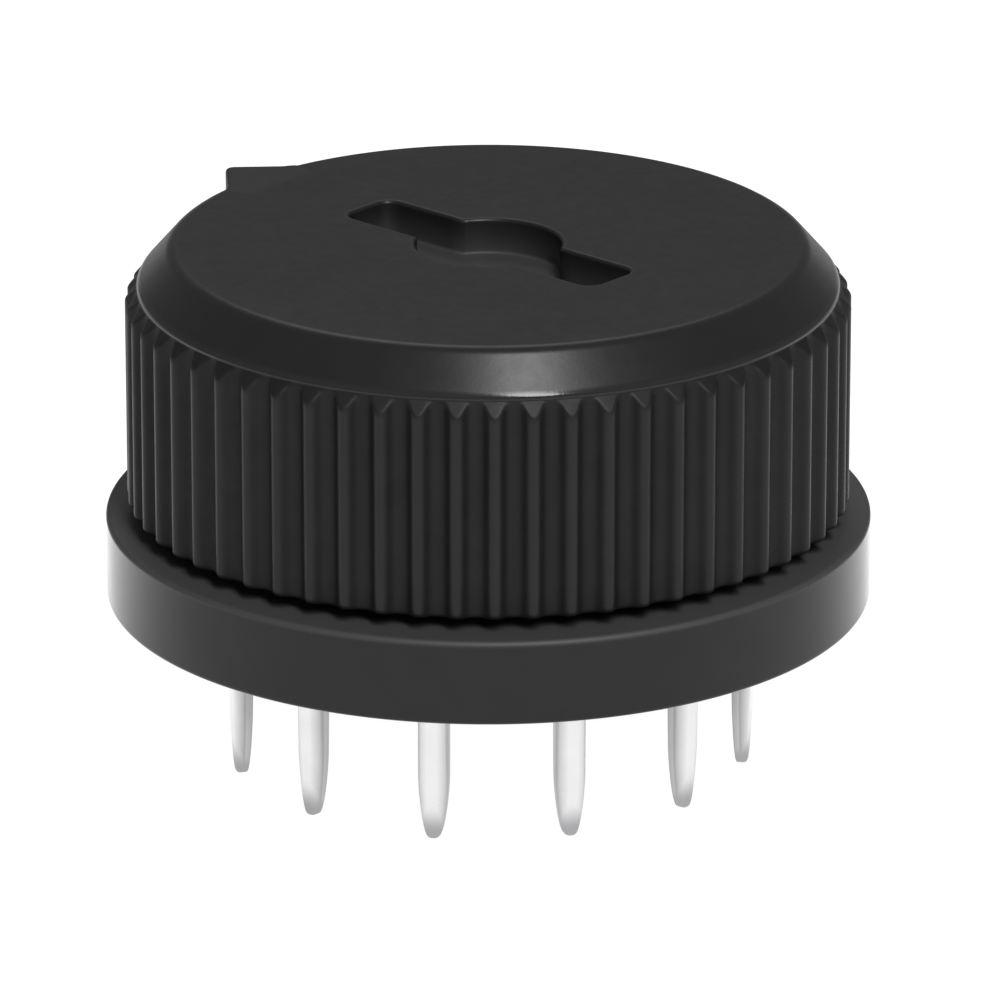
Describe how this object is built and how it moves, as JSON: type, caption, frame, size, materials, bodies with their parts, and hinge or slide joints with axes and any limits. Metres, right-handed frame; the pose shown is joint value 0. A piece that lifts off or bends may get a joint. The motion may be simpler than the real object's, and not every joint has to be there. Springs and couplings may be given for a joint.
{
  "type": "rotary coded switch",
  "caption": "Round board-mounted rotary coded switch: a flanged base on a circle of solder terminals, and a ribbed knob with a screwdriver slot and pointer that turns a code disc.",
  "frame": {"origin": "on the turning axis, in the plane of the flange's underside, where the switch sits on the board", "axes": "+Z along the turning axis, up out of the knob's top; -Y through the middle of the front group of six terminals; the pointer rests at 135 degrees from +X towards +Y"},
  "size_m": [0.022, 0.022, 0.0153],
  "materials": {
    "knob_plastic": "satin",
    "housing_plastic": "satin",
    "carrier_plastic": "matte",
    "terminal_metal": "polished",
    "seal_rubber": "matte",
    "hub_plastic": "satin",
    "washer_plastic": "satin",
    "spring_steel": "satin",
    "disc_plastic": "satin",
    "contact_plate": "polished"
  },
  "bodies": {
    "base": {"base_housing": "housing_plastic", "terminal_carrier": "carrier_plastic", "terminal_code_common": "terminal_metal", "terminal_code_1": "terminal_metal", "terminal_code_2": "terminal_metal", "terminal_code_4": "terminal_metal", "terminal_code_8": "terminal_metal", "terminal_inverse_common": "terminal_metal", "terminal_inverse_1": "terminal_metal", "terminal_inverse_2": "terminal_metal", "terminal_inverse_4": "terminal_metal", "terminal_inverse_8": "terminal_metal", "o_ring": "seal_rubber"},
    "rotor": {"knob": "knob_plastic", "rotor_hub": "hub_plastic", "thrust_washer": "washer_plastic", "detent_spring": "spring_steel", "code_disc": "disc_plastic", "code_plate": "contact_plate", "inverse_plate": "contact_plate"}
  },
  "joints": [
    {"name": "code_select", "type": "hinge", "parent": "base", "child": "rotor", "pos_m": [0, 0, 0.005], "axis": [0, 0, 1], "continuous": true, "deforming": ["detent_spring"]}
  ]
}
